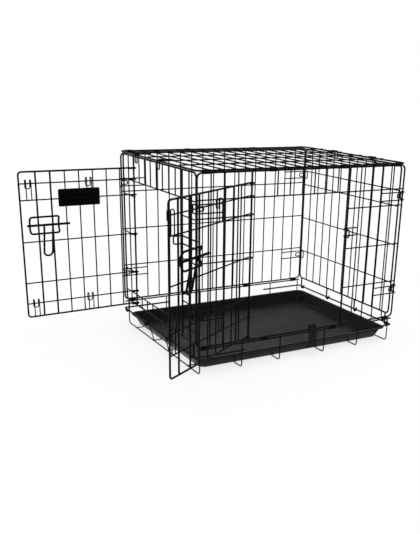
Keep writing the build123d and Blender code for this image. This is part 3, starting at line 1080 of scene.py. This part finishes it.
@dataclass
class Latch:
    """Sizes of a slide-bolt latch and the hairpin hooks beside it."""

    bolt_length: float = 110.0
    bolt_gap: float = 0.5
    bolt_to_keeper: float = 2.0
    bolt_soft_end: float = 1.2
    bracket_length: float = 74.0
    bracket_height: float = 42.0
    bracket_flat: float = 18.0
    bracket_bend: float = 6.0
    handle_width: float = 22.0
    handle_length: float = 84.0
    handle_gap: float = 0.4
    handle_tilt: float = 11.0
    handle_offset: float = 9.0
    keeper_span: float = 19.0
    keeper_reach: float = 20.0
    keeper_past_edge: float = 6.5
    hook_span: float = 12.5
    hook_rise: float = 8.0
    hook_depth: float = 9.0
    hook_drop: float = 22.0
    hook_bend: float = 4.0


@dataclass
class Door:
    """A door on hooked hinges, with its latch.

    Attributes:
        hinge: the hinge wire's place on plan.
        closed: the door's direction when shut, in degrees from +X.
        opened: how far it stands open, in degrees.
        gaps: the doorway's width, in pitches.
        overlap: how far the free edge passes the doorway.
        thick: the thick upright wires' places, in pitches from the hinge; thin wires fill the rest.
        edge_share: where the outer hooks stand between the last thick wire and the free edge.
        inner_hooks: the upper and the lower inner hook's place, in pitches and what is added to them.
        hook_levels: for the upper and the lower hooks the height of their feet and of the row they pass.
        bodies: the door's, the bolt's and the handle's bodies.
    """

    sizes: CrateSizes
    shop: Workshop
    latch: Latch
    name: str
    hinge: Pair
    closed: float
    opened: float
    top: float
    bottom: float
    pitch: float
    gaps: int
    overlap: float
    rows: Row
    thick: Row
    latch_z: float
    edge_share: float
    inner_hooks: Pairs
    hook_levels: Pairs
    bodies: tuple[Body, Body, Body]
    corner: float = 8.0
    hook_return: float = 16.0

    def at(self, u: float, height: float, out: float) -> Point:
        """A point in the crate's frame.

        Args:
            u: distance from the hinge wire along the door.
            height: height above the floor.
            out: distance out of the door's outer face.

        Returns:
            The point.
        """
        angle = math.radians(self.closed - self.opened)
        dx, dy = math.cos(angle), math.sin(angle)
        return (self.hinge[0] + u * dx + out * dy, self.hinge[1] + u * dy - out * dx, height)

    def _across(self, height: float, out: float, u: float) -> Point:
        """A point of a hairpin whose legs lie side by side along the door."""
        return self.at(u, height, out)

    @property
    def width(self) -> float:
        """From the hinge wire to the free edge."""
        return self.gaps * self.pitch + self.overlap

    @property
    def bolt_tip(self) -> float:
        """The bolt's tip, measured from the hinge wire."""
        keeper = self.latch.keeper_past_edge + self.sizes.gauge.keeper
        return self.gaps * self.pitch - keeper - self.latch.bolt_to_keeper

    @property
    def upright_out(self) -> float:
        """How far out the thin upright wires lie."""
        gauge = self.sizes.gauge
        return gauge.row_hook + gauge.row_inset

    @property
    def thick_out(self) -> float:
        """How far out the thick upright wires lie."""
        gauge = self.sizes.gauge
        return gauge.row_hook + gauge.mesh + gauge.frame - gauge.weld

    @property
    def bolt_out(self) -> float:
        """How far out the bolt lies."""
        gauge = self.sizes.gauge
        return self.thick_out + gauge.frame + gauge.bolt + self.latch.bolt_gap

    @property
    def centre(self) -> float:
        """The latch's middle, measured from the hinge wire."""
        return (self.thick[0] + self.thick[1]) / 2 * self.pitch

    def _hooked(self, height: float, radius: float) -> list[Point]:
        """A row's path from the free edge and round the hinge wire."""
        plan = [(self.width, radius), (-radius, radius), (-radius, -radius), (self.hook_return, -radius)]
        return [self.at(u, height, out) for u, out in plan]

    def _panel(self) -> None:
        """Draw the door's own wires."""
        gauge, bead = self.sizes.gauge, self.sizes.bead
        loom = Loom(self.shop, f"{self.name}_door_wires")
        bow = self._hooked(self.top, gauge.hook)[::-1] + self._hooked(self.bottom, gauge.hook)
        loom.add(Wire(bow, gauge.frame, self.corner))
        edge = self.width - bead.door_edge_shift
        for height in self.rows:
            loom.add(Wire(self._hooked(height, gauge.row_hook), gauge.mesh, gauge.row_hook))
            loom.weld([self.at(edge, height, gauge.row_hook)], bead.door_edge)
        for i in (*range(1, int(self.thick[0])), *self.thick):
            is_thick = i in self.thick
            out = self.thick_out if is_thick else self.upright_out
            radius = gauge.frame if is_thick else gauge.mesh
            u = i * self.pitch
            loom.add(Wire([self.at(u, self.bottom, out), self.at(u, self.top, out)], radius))
            middle = (gauge.row_hook + out) / 2
            loom.weld([self.at(u, z, middle) for z in (*self.rows, self.top, self.bottom)], bead.door)
        loom.draw(self.bodies[0], f"{self.name}_door_panel", steps=8)

    def _guard_hooks(self) -> None:
        """Draw the hairpin hooks."""
        gauge, latch = self.sizes.gauge, self.latch
        inner = gauge.row_hook + 2 * gauge.mesh
        outer = inner + latch.hook_depth
        loom = Loom(self.shop, f"{self.name}_door_hook_wires", 0.0)
        last = self.thick[-1] * self.pitch
        edge = last + self.edge_share * (self.width - last)
        for (low, row), (gaps, added) in zip(self.hook_levels, self.inner_hooks):
            crest = row + latch.hook_rise
            path = [(low, inner), (crest, inner), (crest, outer), (crest - latch.hook_drop, outer)]
            for u in (edge, gaps * self.pitch + added):
                legs = spread(u, latch.hook_span)
                loom.add(Wire.hairpin(path, legs, self._across, gauge.mesh, latch.hook_bend))
        loom.draw(self.bodies[0], f"{self.name}_door_guard_hooks")

    def _guide(self) -> None:
        """Draw the latch's guide."""
        gauge, latch = self.sizes.gauge, self.latch
        bar = self.thick_out + gauge.frame + gauge.bracket
        arch = self.bolt_out + gauge.bolt + latch.bolt_gap + gauge.bracket
        half, rise, flat = latch.bracket_length / 2, latch.bracket_height / 2, latch.bracket_flat / 2
        ring = [(-half, rise, bar), (half, rise, bar), (half, flat, arch), (half, -flat, arch)]
        ring += [(half, -rise, bar), (-half, -rise, bar), (-half, -flat, arch), (-half, flat, arch)]
        points = [self.at(self.centre + u, self.latch_z + v, out) for u, v, out in ring]
        guide = Loom(self.shop, f"{self.name}_latch_guide")
        guide.add(Wire(points, gauge.bracket, latch.bracket_bend, closed=True))
        guide.draw(self.bodies[0], f"{self.name}_latch_bracket", steps=8)

    def _bolt(self) -> None:
        """Draw the bolt and its handle."""
        gauge, latch = self.sizes.gauge, self.latch
        reach = (self.bolt_tip - latch.bolt_length, self.bolt_tip)
        ends = [self.at(u, self.latch_z, self.bolt_out) for u in reach]
        bolt = Loom(self.shop, f"{self.name}_latch_bolt_rod", 0.0)
        bolt.add(Wire(ends, gauge.bolt, soft_end=latch.bolt_soft_end))
        bolt.draw(self.bodies[1], f"{self.name}_latch_bolt", sides=20)
        tilt = math.radians(latch.handle_tilt)
        downs = (gauge.bolt + latch.handle_gap, latch.handle_length)
        path = [(self.latch_z - d * math.cos(tilt), self.bolt_out + d * math.sin(tilt)) for d in downs]
        legs = spread(self.centre - latch.handle_offset, latch.handle_width)
        bend = latch.handle_width / 2 - gauge.weld
        bail = Wire.hairpin(path, legs, self._across, gauge.bracket, bend)
        handle = Loom(self.shop, f"{self.name}_latch_bail").add(bail)
        handle.draw(self.bodies[2], f"{self.name}_latch_handle", steps=10)

    def build(self) -> None:
        """Build the door, its hooks and its latch."""
        self._panel()
        self._guard_hooks()
        self._guide()
        self._bolt()


def end_door(sizes: CrateSizes, shop: Workshop, latch: Latch) -> Door:
    """The end door.

    Args:
        sizes: the crate's sizes.
        shop: the shared workshop.
        latch: the latch's sizes.

    Returns:
        The door.
    """
    bottom, rows = 83.0, (421.5, 381.0, 277.0, 172.0, 118.0)
    return Door(
        sizes, shop, latch, "end",
        hinge=(-sizes.end_x, sizes.end_hinge_y),
        closed=-90.0,
        opened=88.0,
        top=450.0,
        bottom=bottom,
        pitch=sizes.end_pitch,
        gaps=sizes.end_gaps - 2 * sizes.strip_gaps,
        overlap=6.0,
        rows=rows,
        thick=(6, 7),
        latch_z=sizes.end_latch_z,
        edge_share=0.42,
        inner_hooks=((3, 9.95), (3.5, 0.0)),
        hook_levels=((rows[1], rows[0]), (bottom, rows[4])),
        bodies=(Body.END_DOOR, Body.END_BOLT, Body.END_HANDLE),
    )


def side_door(sizes: CrateSizes, shop: Workshop, latch: Latch) -> Door:
    """The side door.

    Args:
        sizes: the crate's sizes.
        shop: the shared workshop.
        latch: the latch's sizes.

    Returns:
        The door.
    """
    rows = (424.2, 382.4, 279.2, 178.0, 130.0)
    return Door(
        sizes, shop, latch, "side",
        hinge=(sizes.side_hinge_x, -sizes.side_y),
        closed=0.0,
        opened=149.0,
        top=454.0,
        bottom=79.0,
        pitch=sizes.side_pitch,
        gaps=sizes.opening_gaps,
        overlap=47.6,
        rows=rows,
        thick=(6, 7, 8.25),
        latch_z=sizes.side_latch_z,
        edge_share=0.5,
        inner_hooks=((3.5, 0.0), (3.5, 0.0)),
        hook_levels=((rows[1], rows[0]), (rows[4], rows[3])),
        bodies=(Body.SIDE_DOOR, Body.SIDE_BOLT, Body.SIDE_HANDLE),
    )


@dataclass
class Keepers:
    """The hairpins beside the doorways that take the bolts."""

    sizes: CrateSizes
    shop: Workshop
    latch: Latch

    def _keeper(self, name: str, path: Sequence[Pair], height: float) -> None:
        """Draw one keeper.

        Args:
            name: its node's name.
            path: its path on plan.
            height: its height.
        """
        legs = spread(height, self.latch.keeper_span)[::-1]
        pin = Wire.hairpin(path, legs, on_plan, self.sizes.gauge.keeper, self.latch.hook_bend)
        Loom(self.shop, f"{name}_wire").add(pin).draw(Body.CRATE, name)

    def build(self) -> None:
        """Build both keepers."""
        s, latch = self.sizes, self.latch
        inset = s.gauge.hinge + s.gauge.keeper
        x, y = -s.end_x + inset, -s.end_hinge_y + latch.keeper_past_edge
        self._keeper("end_keeper", [(x, -s.end_y), (x, y), (-s.end_x - latch.keeper_reach, y)], s.end_latch_z)
        x, y, start = s.side_edge_x - latch.keeper_past_edge, -s.side_y + inset, s.side_edge_x + s.side_pitch
        self._keeper("side_keeper", [(start, y), (x, y), (x, -s.side_y - latch.keeper_reach)], s.side_latch_z)


@dataclass
class Tray:
    """The moulded tray: sloping walls, a rolled lip and a softly rounded floor.

    Its rounded edges are (inset, rise) steps from the sharp corner that each takes off.
    """

    shop: Workshop
    half_x: float = 297.0
    middle_x: float = 3.0
    half_y: float = 219.0
    bottom: float = 6.0
    height: float = 29.5
    wall: float = 2.2
    slope: float = 14.0
    lip: float = 6.0
    corner: float = 18.0
    foot_round: Pairs = ((4.0, 0.0), (0.9, 0.15), (-1.1, 1.6))
    brow_round: Pairs = ((0.9, -0.7), (-0.4, 0.0))
    lip_round: Pairs = ((0.9, 0.0), (0.25, 0.25), (0.0, 0.9))
    shoulder_round: Pairs = ((-1.0, 0.0), (0.2, -0.5), (1.1, -1.4))
    floor_round: Pairs = ((-3.2, 6.8), (-1.2, 3.6), (1.4, 1.5), (4.6, 0.35), (8.5, 0.0))

    def _profile(self) -> list[Point]:
        """The tray's section.

        Returns:
            (inset, radius, height) from the underside's middle round to the floor's middle.
        """
        top = self.bottom + self.height
        ledge, floor = top - self.wall, self.bottom + self.wall
        foot, shoulder = self.lip + self.slope, self.lip + self.wall
        under, inner = self.lip + self.slope * self.wall / self.height, foot + self.wall
        rim, pan, well = self.corner + self.lip, self.corner, self.corner - self.wall
        rows = [(foot + a, pan, self.bottom + b) for a, b in self.foot_round]
        rows += [(under + a, pan, ledge + b) for a, b in self.brow_round]
        rows += [(a, rim - a, ledge + b) for a, b in self.lip_round]
        rows += [(a, rim - a, top - b) for a, b in reversed(self.lip_round)]
        rows += [(shoulder + a, well + max(-a, 0.0), top + b) for a, b in self.shoulder_round]
        rows += [(inner + a, well, floor + b) for a, b in self.floor_round]
        return rows

    def build(self) -> None:
        """Build the tray."""
        shell = StackedShell(self.half_x, self.half_y)
        mesh = shell.mesh("tray_shell", self._profile(), lambda x, y, z: (self.middle_x + x, y, z))
        mesh.materials.append(self.shop.tray)
        hand_over(mesh, Body.TRAY, Slot.TRAY, "tray")


@dataclass
class Plate:
    """The blank plate on the end door, with rounded edges."""

    shop: Workshop
    door: Door
    width: float = 110.0
    height: float = 44.0
    thickness: float = 1.5
    corner: float = 4.0
    edge: float = 0.45
    centre_z: float = 382.0
    column: int = 4
    gap: float = 0.5

    def _put(self, x: float, y: float, z: float) -> Point:
        """A point by its place on the plate and its distance from the plate's back."""
        back = self.door.upright_out + self.door.sizes.gauge.mesh + self.gap
        return self.door.at(self.column * self.door.pitch + x, self.centre_z + y, back + z)

    def build(self) -> None:
        """Build the plate."""
        steps = ((self.edge, 0.0), (0.0, self.edge))
        profile = [(inset, self.corner - inset, z) for inset, z in steps]
        profile += [(inset, self.corner - inset, self.thickness - z) for inset, z in reversed(steps)]
        mesh = StackedShell(self.width / 2, self.height / 2).mesh("blank_plate", profile, self._put)
        mesh.materials.append(self.shop.plate)
        hand_over(mesh, Body.END_DOOR, Slot.PLATE, "name_plate")


@dataclass
class Hardware:
    """Bands, clips and the tray's strap, whose solids stay and get a coat."""

    shop: Workshop
    strap: str = "tray_stop"
    clips: tuple[str, ...] = (
        "near_base_clips", "far_base_clips", "near_top_clips", "far_top_clips", "name_plate_clips",
    )

    def build(self) -> None:
        """Coat the solids."""
        for name in (*self.clips, self.strap):
            solid = frame["nodes"][name]
            solid.data.materials.clear()
            solid.data.materials.append(self.shop.strap if name == self.strap else self.shop.coat)
            LOG.info("%s keeps its solid", name)


@dataclass(frozen=True)
class Studio:
    """A pale floor, soft light and the camera at the photograph's angle."""

    azimuth: float = -31.540
    elevation: float = 20.090
    roll: float = 1.887
    place: Point = (-1044.5, -1730.2, 682.1)
    focal_px: float = 745.7
    shift_px: Pair = (49.6, 83.4)
    image_height: float = 534.0
    sensor: float = 36.0
    floor_size: float = 40.0
    white: Colour = (1.0, 1.0, 1.0, 1.0)
    dome: float = 0.85
    key: float = 0.6
    key_spread: float = 60.0
    key_way: Point = (0.25, 0.5, -1.0)
    floor_shade: float = 0.25
    floor_lift: float = 0.76

    def _camera(self) -> None:
        """Make the camera."""
        a, e, r = (math.radians(v) for v in (self.azimuth, self.elevation, self.roll))
        back = Vector((math.sin(a) * math.cos(e), -math.cos(a) * math.cos(e), math.sin(e)))
        right = Vector((math.cos(a), math.sin(a), 0.0))
        up = back.cross(right)
        tilted = right * math.cos(r) + up * math.sin(r)
        over = up * math.cos(r) - right * math.sin(r)
        data = bpy.data.cameras.new("camera")
        data.sensor_width = self.sensor
        data.lens = self.focal_px * self.sensor / self.image_height
        data.shift_x = -self.shift_px[0] / self.image_height
        data.shift_y = self.shift_px[1] / self.image_height
        camera = stand("camera", data)
        turn = Matrix((tilted, over, back)).transposed().to_4x4()
        camera.matrix_world = Matrix.Translation(Vector(self.place) * MM) @ turn
        bpy.context.scene.camera = camera

    def _floor(self) -> None:
        """Lay the floor."""
        graph = ShaderGraph(bpy.data.materials.new("pale_floor"))
        graph.set(
            Base_Color=(self.floor_shade, self.floor_shade, self.floor_shade, 1.0),
            Roughness=0.9,
            Specular_IOR_Level=0.0,
            Emission_Color=graph.seen() * self.floor_lift,
            Emission_Strength=1.0,
        )
        half = self.floor_size / 2
        corners = [(-half, -half, 0), (half, -half, 0), (half, half, 0), (-half, half, 0)]
        mesh = bpy.data.meshes.new("floor")
        mesh.from_pydata(corners, [], [(0, 1, 2, 3)])
        mesh.materials.append(graph.owner)
        floor = stand("floor", mesh)

    def _light(self) -> None:
        """Set a white dome and a soft key light."""
        graph = ShaderGraph(bpy.data.worlds.new("dome"))
        bpy.context.scene.world = graph.owner
        lit, shown = (
            graph.node("ShaderNodeBackground", {}, {"Color": self.white, "Strength": strength})
            for strength in (self.dome, 1.0)
        )
        choice = graph.node("ShaderNodeMixShader", {}, {0: graph.seen(), 1: lit, 2: shown})
        graph.feed(graph.tree.nodes["World Output"].inputs["Surface"], choice)
        data = bpy.data.lights.new("key", "SUN")
        data.energy, data.angle = self.key, math.radians(self.key_spread)
        stand("key", data).rotation_euler = Vector(self.key_way).to_track_quat("-Z", "Y").to_euler()

    def build(self) -> None:
        """Set the stage."""
        bpy.context.scene.view_settings.view_transform = "Standard"
        self._floor()
        self._light()
        self._camera()


def main() -> None:
    logging.basicConfig(level=logging.INFO, format="%(name)s: %(message)s")
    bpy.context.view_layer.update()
    sizes, latch = CrateSizes(), Latch()
    strap = PowderCoat("strap_coat", deep=(0.0115, 0.0115, 0.0117, 1.0), worn=(0.0185, 0.0185, 0.0188, 1.0))
    shop = Workshop(
        wires=WireTree(),
        coat=PowderCoat("black_powder_coat").material(),
        strap=strap.material(),
        tray=MouldedPlastic("tray_plastic").material(),
        plate=MouldedPlastic("plate_plastic", dust_and_reflection=None, gloss=0.5, sheen=0.03).material(),
    )
    front = end_door(sizes, shop, latch)
    for assembly in (
        Base(sizes, shop),
        LongSide(sizes, shop, Sign.LOW, has_door=True),
        LongSide(sizes, shop, Sign.HIGH, has_door=False),
        Top(sizes, shop),
        End(sizes, shop, Sign.LOW, has_door=True, body=Body.CRATE),
        End(sizes, shop, Sign.HIGH, has_door=False, body=Body.RIGHT_END),
        front,
        side_door(sizes, shop, latch),
        Keepers(sizes, shop, latch),
        Tray(shop),
        Plate(shop, front),
        Hardware(shop),
        Studio(),
    ):
        assembly.build()


if __name__ == "__main__":
    main()
